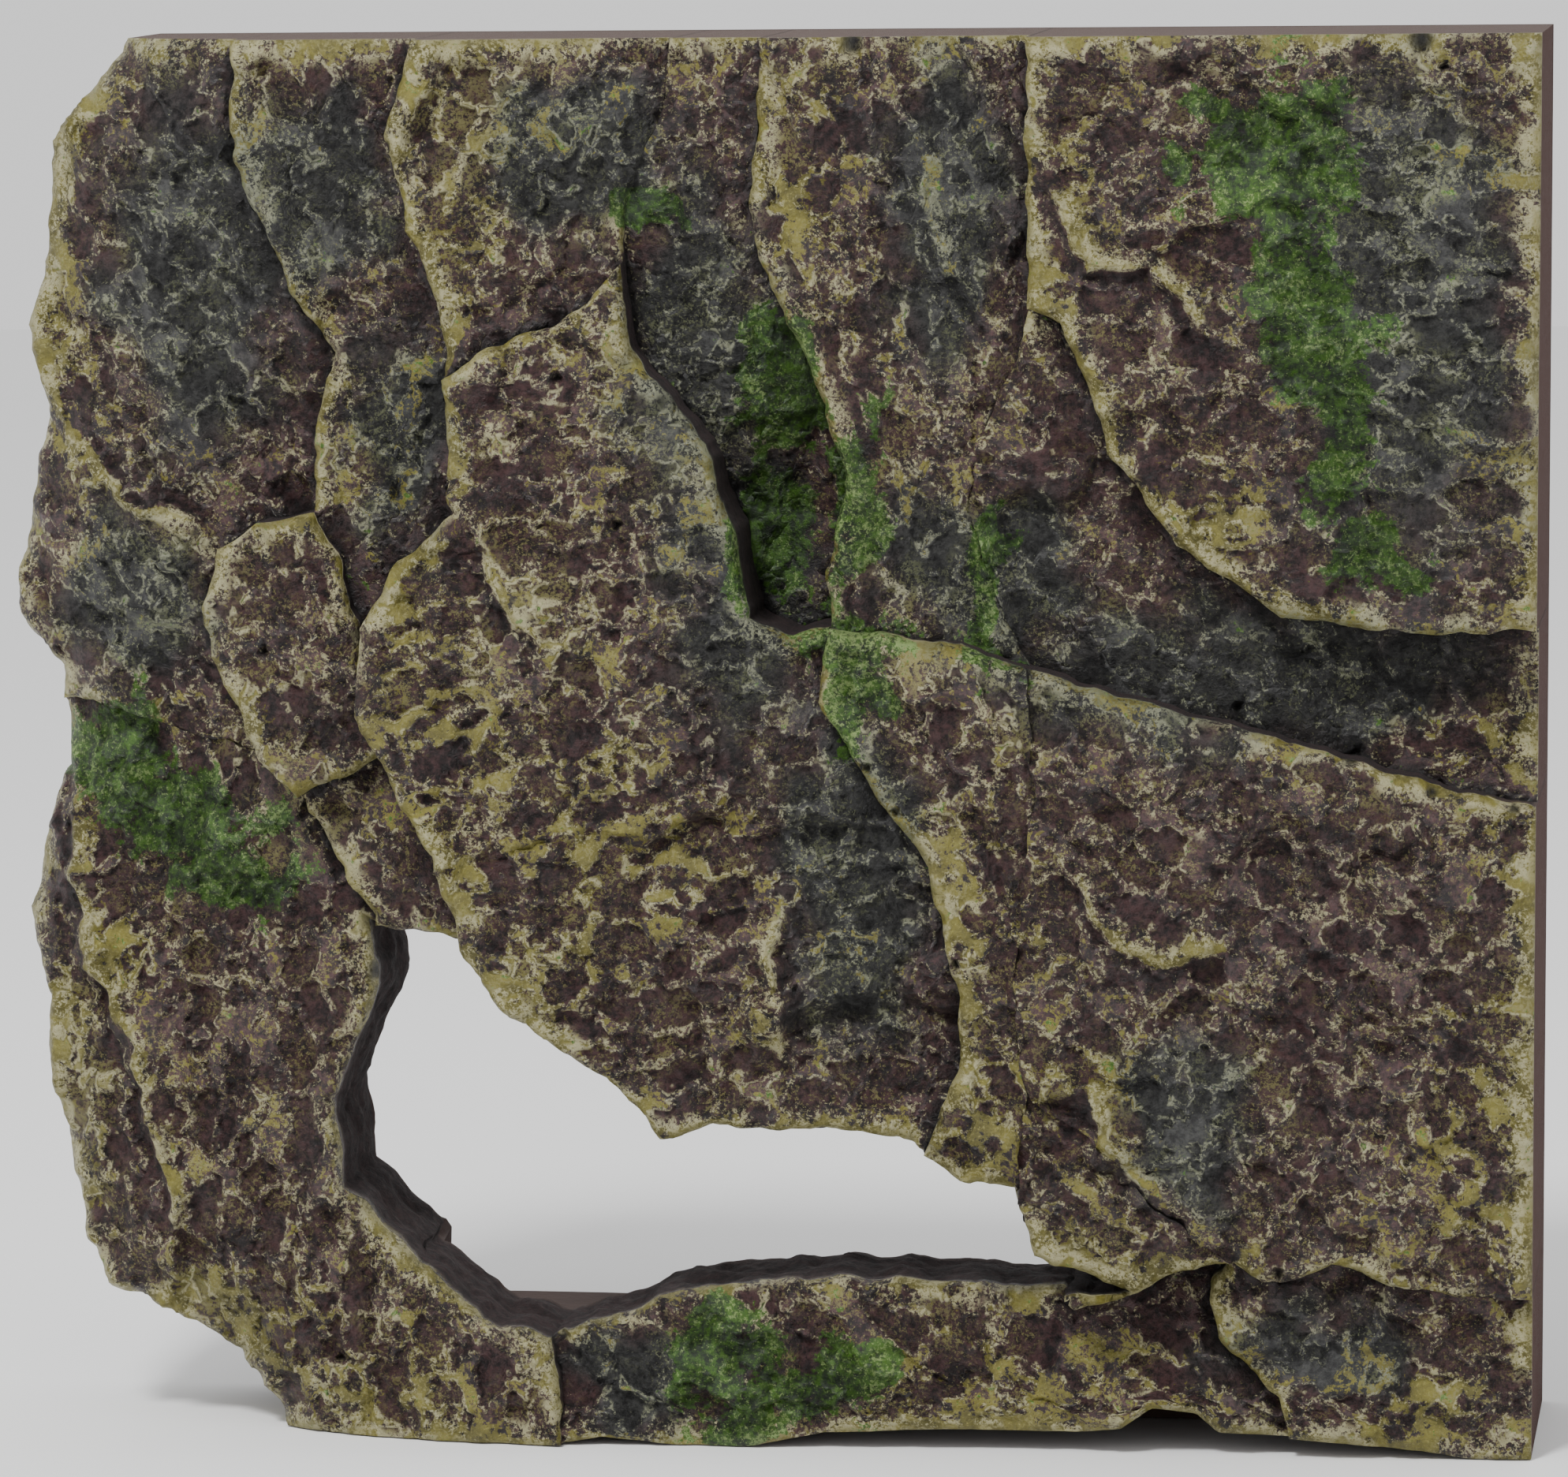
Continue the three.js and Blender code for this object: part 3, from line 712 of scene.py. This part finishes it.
def back_sheet(border_places):
    """The inside of a slab: its border, a coarse grid, and a line along each wall of the cave."""
    walls = [inset(hollow, 0.6) for hollow in HOLLOWS] + [inset(hollow, -0.4) for hollow in HOLLOWS]
    lines = np.concatenate([divided(wall, 2, True) for wall in walls])
    loose = away_from(grid_points(BACK_SPACING, 7), lines, 1.2)
    loose = np.concatenate([lines, loose])
    return away_from(loose, border_places, 0.9)


def ordered_loops(border):
    """The border's edges as closed loops of point numbers."""
    after = {int(a): int(b) for a, b in border}
    loops = []
    while after:
        start = next(iter(after))
        loop = []
        while start in after:
            loop.append(start)
            start = after.pop(start)
        loops.append(loop)
    return loops


def back_shape(name, outlines):
    """The points, triangles and relief of a slab's inside. Its first points are those of its border."""
    border_places = np.concatenate(outlines)
    inner = back_sheet(border_places)
    inner = inner[inside(inner, outlines[0])]
    places, faces = triangulated([], outlines, inner)
    faces = counter_clockwise(places, faces)
    faces = faces[inside(places[faces].mean(axis=1), outlines[0])]
    return places, faces, frame_relief(name, drawn_in(places, faces), False)


def back_points(places, relief, border_count):
    """The inside's points, a little uneven except along the border and the foot of its walls."""
    uneven = INSIDE_BULGE * fractal(places, 9, 3, 191) * (relief > 1)
    uneven[:border_count] = 0
    return to_frame(roughened(places), relief + uneven)


def wall_points(rows, outline, rough_outline, front_relief, back_relief, free):
    """Rows of points between front and back, and how far back each point is, from 0 to 1."""
    run = np.cumsum(np.linalg.norm(np.diff(outline, axis=0, prepend=outline[:1]), axis=1))
    points = []
    shares = []
    for i in range(1, rows):
        share = (i / rows) ** 1.3
        relief = front_relief + (back_relief - front_relief) * share
        unrolled = np.stack([run, relief], axis=1)
        bulge = np.stack([fractal(unrolled, 7, 3, 151), fractal(unrolled, 7, 3, 171)], axis=1)
        swing = WALL_BULGE * smoothstep(0, 0.3, share) * smoothstep(1, 0.85, share)
        points.append(to_frame(rough_outline + bulge * (free * swing)[:, None], relief))
        shares.append(np.full(len(run), share))
    return points, np.concatenate(shares)


def wall_faces(loops, columns):
    """Quads around each loop, from each row of point numbers to the next one back."""
    quads = []
    start = 0
    for loop in loops:
        here = np.arange(start, start + len(loop))
        there = np.roll(here, -1)
        for upper, lower in zip(columns, columns[1:]):
            quads.append(np.stack([upper[here], lower[here], lower[there], upper[there]], axis=1))
        start += len(loop)
    return np.concatenate(quads)


def paint_values(front, front_masks, edge_masks, edge_brushing_and_shade, straight, depth_share):
    """What the paint depends on: for the front's points, for the walls' points, and inside."""
    rows = len(depth_share) // len(edge_brushing_and_shade)
    outer = np.tile(edge_masks["outer"], rows)
    # Into the walls the value falls with depth, and inside it is -1: painted shade, darkest deep in the
    # walls and inside.
    wall_brushing_and_shade = np.tile(edge_brushing_and_shade, rows) - np.where(outer > 0, 2.2, 6) * depth_share
    none = np.zeros(len(front["brushing_and_shade"]))
    values = {
        "brushing_and_shade": (front["brushing_and_shade"], wall_brushing_and_shade, -1),
        "web": (front["web"], 0.75 * outer, 0),
        "pit": (front["pit"], 0 * outer, 0),
        "raw": (none, np.tile(straight, rows), 1),
        "wall": (none, depth_share * (1 - outer), 1),
    }
    for patch in PATCHES:
        values[patch] = (front_masks[patch], np.tile(edge_masks[patch], rows), 0)
    return values


def add_values(mesh, values):
    """Values on the mesh's points, for the paint to read."""
    for name, (on_front, on_walls, on_inside) in values.items():
        inside_count = len(mesh.vertices) - len(on_front) - len(on_walls)
        whole = np.concatenate([on_front, on_walls, np.full(inside_count, float(on_inside))])
        attribute = mesh.attributes.new(name, "FLOAT", "POINT")
        attribute.data.foreach_set("value", whole.astype(np.float32))


def casting_mesh(name, points, faces):
    """A smooth mesh, with its sharp edges kept sharp."""
    mesh = bpy.data.meshes.new(name + "_casting")
    mesh.from_pydata(points.tolist(), [], faces)
    mesh.polygons.foreach_set("use_smooth", np.ones(len(mesh.polygons), bool))
    mesh.set_sharp_from_angle(angle=SHARP_ANGLE)
    return mesh


def slab_piece(name, places, faces, front, masks):
    """One closed casting: a dense front, side walls and a plain inside."""
    rows = SLABS[name]["rows"]
    used = np.unique(faces)
    local = np.full(len(places), -1)
    local[used] = np.arange(len(used))
    loops = ordered_loops(border_of(faces))
    edge = np.concatenate([np.array(loop) for loop in loops])
    count = len(edge)
    rough_places = roughened(places)
    from_straight = straight_edge_distance(places[edge])

    back_places, back_faces, back_relief = back_shape(name, [places[loop] for loop in loops])
    walls, depth_share = wall_points(
        rows, places[edge], rough_places[edge], front["relief"][local[edge]], back_relief[:count],
        masks["free"][edge] * smoothstep(0.5, 3, from_straight),
    )
    front_points = to_frame(rough_places[used], front["relief"])
    points = np.concatenate([front_points, *walls, back_points(back_places, back_relief, count)])

    columns = [local[edge]] + [len(used) + i * count + np.arange(count) for i in range(rows)]
    first_back = len(used) + (rows - 1) * count
    all_faces = [tuple(f) for f in local[faces]] + [tuple(f) for f in wall_faces(loops, columns)]
    all_faces += [tuple(f[::-1]) for f in back_faces + first_back]
    mesh = casting_mesh(name, points, all_faces)

    front_masks = {key: mask[used] for key, mask in masks.items()}
    edge_masks = {key: mask[edge] for key, mask in masks.items()}
    straight = 1 - smoothstep(0.2, 0.6, from_straight)
    edge_brushing_and_shade = front["brushing_and_shade"][local[edge]]
    add_values(mesh, paint_values(front, front_masks, edge_masks, edge_brushing_and_shade, straight, depth_share))
    piece = bpy.data.objects.new(name + "_rock", mesh)
    bpy.context.scene.collection.objects.link(piece)
    return piece


def slab_bases(places, owners):
    """For each slab, the frame's relief at its own places, and nothing elsewhere."""
    bases = {}
    for name, faces in owners.items():
        used = np.unique(faces)
        bases[name] = np.full(len(places), np.nan)
        bases[name][used] = frame_relief(name, drawn_in(places, faces)[used], True)
    return bases


def face_masks(places, slab_count):
    """Where the patches are, and which places are free of neighbours or on the ornament's outside."""
    masks = {name: patches(places, spots, PATCH_SEEDS[name]) for name, spots in PATCHES.items()}
    free = slab_count == 1
    masks["free"] = free.astype(float)
    masks["outer"] = (beside_line(places, MOUTH + MOUTH[:1])[0] > MOUTH_WALL) * free * 1.0
    return masks


def border_steps(places, faces, base, others):
    """For each place of a slab, the distance to its border and the height of the step there."""
    edge = np.unique(border_of(faces))
    beside = np.where(np.isnan(others[:, edge]), -np.inf, others[:, edge]).max(axis=0)
    step = np.clip(base[edge] - beside, -TALLEST_STEP, TALLEST_STEP)
    nearest, gap = nearest_of(places[edge], places[np.unique(faces)])
    return gap, step[nearest]


def build_slabs(material):
    """All the slabs, as neighbours that share their seams exactly."""
    places, owners = make_plan()
    bases = slab_bases(places, owners)
    stacked = np.stack(list(bases.values()))
    masks = face_masks(places, np.sum(~np.isnan(stacked), axis=0))
    for order, (name, faces) in enumerate(owners.items()):
        used = np.unique(faces)
        gap, step = border_steps(places, faces, bases[name], np.delete(stacked, order, axis=0))
        front = weather(places[used], bases[name][used], gap, step, SLABS[name])
        piece = slab_piece(name, places, faces, front, masks)
        piece.data.materials.append(material)
        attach(piece, "root")
        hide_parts(name)


# ---- paint -----------------------------------------------------------------------------------
def colour(red, green, blue):
    """A display colour from 0 to 255 as the linear one that shaders use."""
    return tuple(((c / 255 + 0.055) / 1.055) ** 2.4 for c in (red, green, blue)) + (1.0,)


class Paint:
    """A short way to write a node tree."""

    def __init__(self, name):
        self.material = bpy.data.materials.new(name)
        self.material.use_nodes = True
        self.tree = self.material.node_tree
        self.tree.nodes.clear()

    def node(self, kind, inputs=None, **settings):
        """A node with its settings, and with a link or a value for each of its inputs."""
        made = self.tree.nodes.new(kind)
        for key, value in settings.items():
            setattr(made, key, value)
        for key, value in (inputs or {}).items():
            if isinstance(value, bpy.types.NodeSocket):
                self.tree.links.new(value, made.inputs[key])
            else:
                made.inputs[key].default_value = value
        return made

    def math(self, operation, a, b, clamp=False):
        """A sum, difference, product or the like."""
        return self.node("ShaderNodeMath", {0: a, 1: b}, operation=operation, use_clamp=clamp).outputs[0]

    def total(self, first, *others):
        """The sum of several values."""
        for other in others:
            first = self.math("ADD", first, other)
        return first

    def times(self, a, b):
        return self.math("MULTIPLY", a, b)

    def swing(self, value, weight):
        """How far a noise is above its middle or below it, times a weight."""
        return self.times(self.math("SUBTRACT", value, 0.5), weight)

    def value(self, name):
        """A value that the mesh carries on its points."""
        return self.node("ShaderNodeAttribute", attribute_name=name).outputs["Fac"]

    def noise(self, place, size, detail, rough, distortion=0.0):
        """Noise with bumps about size mm across."""
        inputs = {
            "Vector": place, "Scale": 1 / (size * MM), "Detail": detail, "Roughness": rough,
            "Distortion": distortion,
        }
        return self.node("ShaderNodeTexNoise", inputs).outputs["Fac"]

    def ramp(self, value, low, high):
        """A soft step from 0 at low to 1 at high."""
        inputs = {"Value": value, "From Min": low, "From Max": high}
        node = self.node("ShaderNodeMapRange", inputs, interpolation_type="SMOOTHSTEP")
        return node.outputs["Result"]

    def mix(self, share, under, over):
        """One colour over another."""
        inputs = {0: share, 6: under, 7: over}
        return self.node("ShaderNodeMix", inputs, data_type="RGBA").outputs[2]

    def tint(self, share, dark, light):
        """From one display colour to another."""
        return self.mix(share, colour(*dark), colour(*light))


class RockPaint(Paint):
    """Dark cast resin, dry-brushed with mustard and pale grey, with moss green patches."""

    def __init__(self):
        super().__init__("painted_rock")
        self.place = self.node("ShaderNodeTexCoord").outputs["Object"]
        # Dry-brushing at raised edges, and painted shade at the foot of steps, in the walls and inside.
        self.brushing_and_shade = self.value("brushing_and_shade")
        self.web = self.value("web")
        self.fine = self.noise(self.place, 1.1, 5, 0.75)
        self.speck = self.noise(self.place, 0.5, 4, 0.8)
        self.blotch = self.noise(self.place, 13, 4, 0.6)
        self.drift = self.noise(self.place, 4.5, 7, 0.7, 0.3)
        self.charcoal = self.ramp(self.total(self.value("charcoal"), self.blotch), 0.5, 1.3)
        self.tone = self.total(self.times(self.fine, 0.6), self.times(self.drift, 0.4))
        veins = self.math("SUBTRACT", self.noise(self.place, 3.2, 5, 0.6, 0.6), 0.5)
        self.veins = self.ramp(self.math("ABSOLUTE", veins, 0.0), 0.045, 0.012)
        # Pale specks, rims and flecks; raised in the pale patches, where they are also painted sheen.
        self.dust_and_sheen_level = self.total(
            self.speck, self.swing(self.drift, 0.45), self.times(self.veins, 0.05),
            self.times(self.brushing_and_shade, 0.08), self.times(self.value("pale"), 0.06),
        )
        self.on_wall = self.ramp(self.value("wall"), 0.02, 0.12)
        self.raw = self.value("raw")

    def ground(self):
        """The dark coat under everything, with painted shade at the foot of steps and ledges, deep in the
        walls and inside.
        """
        share = self.ramp(self.tone, 0.4, 0.6)
        purple = self.tint(share, *SHADES["purple"])
        slate = self.tint(share, *SHADES["slate"])
        coat = self.mix(self.charcoal, purple, slate)
        # Painted shade where that value is low: below steps and ledges, deep in the walls and inside.
        return self.mix(self.ramp(self.brushing_and_shade, -0.3, -1.4), coat, colour(*SHADOW))

    def with_mustard(self, under):
        """Mustard on webs, edges and veins, thinner in the bare patches."""
        cover = self.total(
            self.swing(self.blotch, 1.4), -0.05, self.times(self.value("ochre"), 0.34),
            self.times(self.value("bare"), -0.38), self.times(self.brushing_and_shade, 0.7),
        )
        level = self.total(
            self.times(self.web, 0.6), cover, self.times(self.veins, 0.25), self.swing(self.fine, 1.7),
            self.swing(self.drift, 0.9),
        )
        mustard = self.tint(self.ramp(self.drift, 0.35, 0.65), *SHADES["mustard"])
        mustard = self.mix(self.ramp(self.speck, 0.52, 0.75), mustard, colour(*BRIGHT_MUSTARD))
        return self.mix(self.ramp(level, 0.7, 0.76), under, mustard)

    def with_dust(self, under):
        """Pale specks, and a pale line along the rim of each hollow that is dry-brushing and also painted
        highlight.
        """
        crowd = self.ramp(self.noise(self.place, 7, 3, 0.5), 0.38, 0.6)
        specks = self.times(self.ramp(self.dust_and_sheen_level, 0.55, 0.6), crowd)
        speckled = self.mix(self.times(specks, 0.95), under, self.tint(self.charcoal, *DUST_AND_SHEEN))
        # Dry-brushing and painted highlight along the rims of the hollows.
        rim = self.times(self.ramp(self.web, 0.25, 0.5), self.ramp(self.web, 0.95, 0.7))
        rim_level = self.total(self.dust_and_sheen_level, self.times(self.drift, 0.4))
        rim = self.times(rim, self.ramp(rim_level, 0.7, 0.82))
        return self.mix(self.times(rim, 0.9), speckled, self.tint(self.charcoal, *RIM_DUST_AND_GLINT))

    def with_moss(self, under):
        """Green in the moss patches, with pale flecks."""
        level = self.total(
            self.value("moss"), self.swing(self.drift, 2.0), self.times(self.web, 0.3),
            self.swing(self.fine, 1.6),
        )
        green = self.tint(self.ramp(self.tone, 0.42, 0.6), *SHADES["moss"])
        flecks = self.times(self.ramp(self.dust_and_sheen_level, 0.58, 0.66), 0.8)
        green = self.mix(flecks, green, colour(*BRIGHT_MOSS))
        return self.mix(self.times(self.ramp(level, 0.62, 0.7), 0.96), under, green)

    def with_bare_sides(self, under):
        """The walls of the mouth and the steps, dark partly as painted shade; the unpainted sides and
        inside, with painted light on top and painted shade on the right side; the bubbles, filled with
        painted shade.
        """
        share = self.ramp(self.tone, 0.35, 0.65)
        # Dark unbrushed paint on the walls of the mouth and the steps, darkened further as painted shade.
        walled = self.mix(self.on_wall, under, self.tint(share, *SHADES["wall"]))
        # Bare resin lighter on faces turned up, as painted light, and darker and redder on faces turned
        # right, as painted shade.
        normal = self.node("ShaderNodeNewGeometry").outputs["Normal"]
        facing = self.node("ShaderNodeSeparateXYZ", {0: normal})
        resin = self.tint(share, *SHADES["resin"])
        resin = self.mix(self.ramp(facing.outputs[0], 0.5, 0.9), resin, colour(*SHADED_SIDE_RESIN))
        resin = self.mix(self.ramp(facing.outputs[2], 0.5, 0.9), resin, colour(*LIT_TOP_RESIN))
        # Painted shade fills the bubbles.
        return self.mix(self.value("pit"), self.mix(self.raw, walled, resin), colour(*BUBBLE_SHADE))

    def roughness(self):
        """Satin paint, and matt resin on the bare sides."""
        gloss = self.ramp(self.noise(self.place, 1.5, 3, 0.6), 0.2, 0.8)
        satin = self.node("ShaderNodeMapRange", {"Value": gloss, "To Min": 0.34, "To Max": 0.58})
        bare = self.math("MAXIMUM", self.raw, self.on_wall)
        return self.math("ADD", satin.outputs["Result"], self.times(bare, 0.5), clamp=True)

    def grain(self):
        """The grainy surface, roughest in the hollows."""
        height = self.total(self.fine, self.times(self.speck, 0.5))
        height = self.times(height, self.math("SUBTRACT", 1.3, self.web))
        bump = self.node("ShaderNodeBump", {"Height": height, "Strength": 1.0, "Distance": 0.0014})
        return bump.outputs["Normal"]


def rock_paint():
    """The painted rock, coat by coat."""
    p = RockPaint()
    coats = p.with_bare_sides(p.with_moss(p.with_dust(p.with_mustard(p.ground()))))
    inputs = {"Base Color": coats, "Roughness": p.roughness(), "Normal": p.grain()}
    shader = p.node("ShaderNodeBsdfPrincipled", inputs)
    shader.inputs["Specular IOR Level"].default_value = 0.5
    p.node("ShaderNodeOutputMaterial", {"Surface": shader.outputs["BSDF"]})
    return p.material


def raw_resin():
    """Unpainted brown resin, as the mould left it, darker than the other bare resin as painted shade behind
    the sill.
    """
    p = Paint("raw_resin")
    place = p.node("ShaderNodeTexCoord").outputs["Object"]
    blotch = p.noise(place, 8, 4, 0.6)
    fine = p.noise(place, 1.2, 4, 0.65)
    # Darker than the other bare resin: painted shade behind the sill.
    shade = p.tint(blotch, *SHADES["rail"])
    bump = p.node("ShaderNodeBump", {"Height": fine, "Strength": 0.35, "Distance": 0.0005})
    shader = p.node("ShaderNodeBsdfPrincipled", {"Base Color": shade, "Normal": bump.outputs["Normal"]})
    shader.inputs["Roughness"].default_value = 0.95
    p.node("ShaderNodeOutputMaterial", {"Surface": shader.outputs["BSDF"]})
    return p.material


# ---- stage -----------------------------------------------------------------------------------
def add_camera():
    """A long lens, a little to the right of the ornament and above it."""
    azimuth, elevation, roll = (math.radians(a) for a in (6.5, 6.0, -0.45))
    distance = 1.0
    view_width = 0.21104
    target = Vector((SHIFT_X * MM, -0.9 * MM, 94.2 * MM))
    back = Vector((
        math.sin(azimuth) * math.cos(elevation),
        -math.cos(azimuth) * math.cos(elevation),
        math.sin(elevation),
    ))
    level = Vector((0, 0, 1)).cross(back).normalized()
    upright = back.cross(level)
    right = level * math.cos(roll) + upright * math.sin(roll)
    up = upright * math.cos(roll) - level * math.sin(roll)
    data = bpy.data.cameras.new("camera")
    data.sensor_width = 36
    data.lens = 36 * distance / view_width
    camera = bpy.data.objects.new("camera", data)
    rotation = Matrix((right, up, back)).transposed().to_4x4()
    camera.matrix_world = Matrix.Translation(target + back * distance) @ rotation
    bpy.context.scene.collection.objects.link(camera)
    bpy.context.scene.camera = camera


def add_light(name, place, size, watts):
    """A square lamp aimed at the middle of the ornament."""
    data = bpy.data.lights.new(name, "AREA")
    data.size = size
    data.energy = watts
    light = bpy.data.objects.new(name, data)
    light.location = place
    light.rotation_euler = (Vector((0, 0, 0.09)) - Vector(place)).to_track_quat("-Z", "Y").to_euler()
    bpy.context.scene.collection.objects.link(light)


def add_stage():
    """A plain pale floor, an even white surround and one lamp."""
    mesh = bpy.data.meshes.new("floor")
    mesh.from_pydata([(-3, -3, 0), (3, -3, 0), (3, 3, 0), (-3, 3, 0)], [], [(0, 1, 2, 3)])
    floor = bpy.data.objects.new("floor", mesh)
    floor.location.z = -0.0002
    bpy.context.scene.collection.objects.link(floor)
    p = Paint("floor_white")
    shader = p.node("ShaderNodeBsdfPrincipled", {"Base Color": colour(*FLOOR_WHITE), "Roughness": 0.8})
    p.node("ShaderNodeOutputMaterial", {"Surface": shader.outputs["BSDF"]})
    mesh.materials.append(p.material)
    world = bpy.data.worlds.new("studio")
    world.use_nodes = True
    world.node_tree.nodes["Background"].inputs["Color"].default_value = (1, 1, 1, 1)
    world.node_tree.nodes["Background"].inputs["Strength"].default_value = 1.0
    bpy.context.scene.world = world
    add_light("key", (-0.3, -0.8, 1.15), 0.25, 17)


def paint_rail(material):
    """The bar behind the sill keeps the frame's shape."""
    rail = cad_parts["rear_rail"]
    rail.data.materials.clear()
    rail.data.materials.append(material)


add_camera()
add_stage()
build_slabs(rock_paint())
paint_rail(raw_resin())
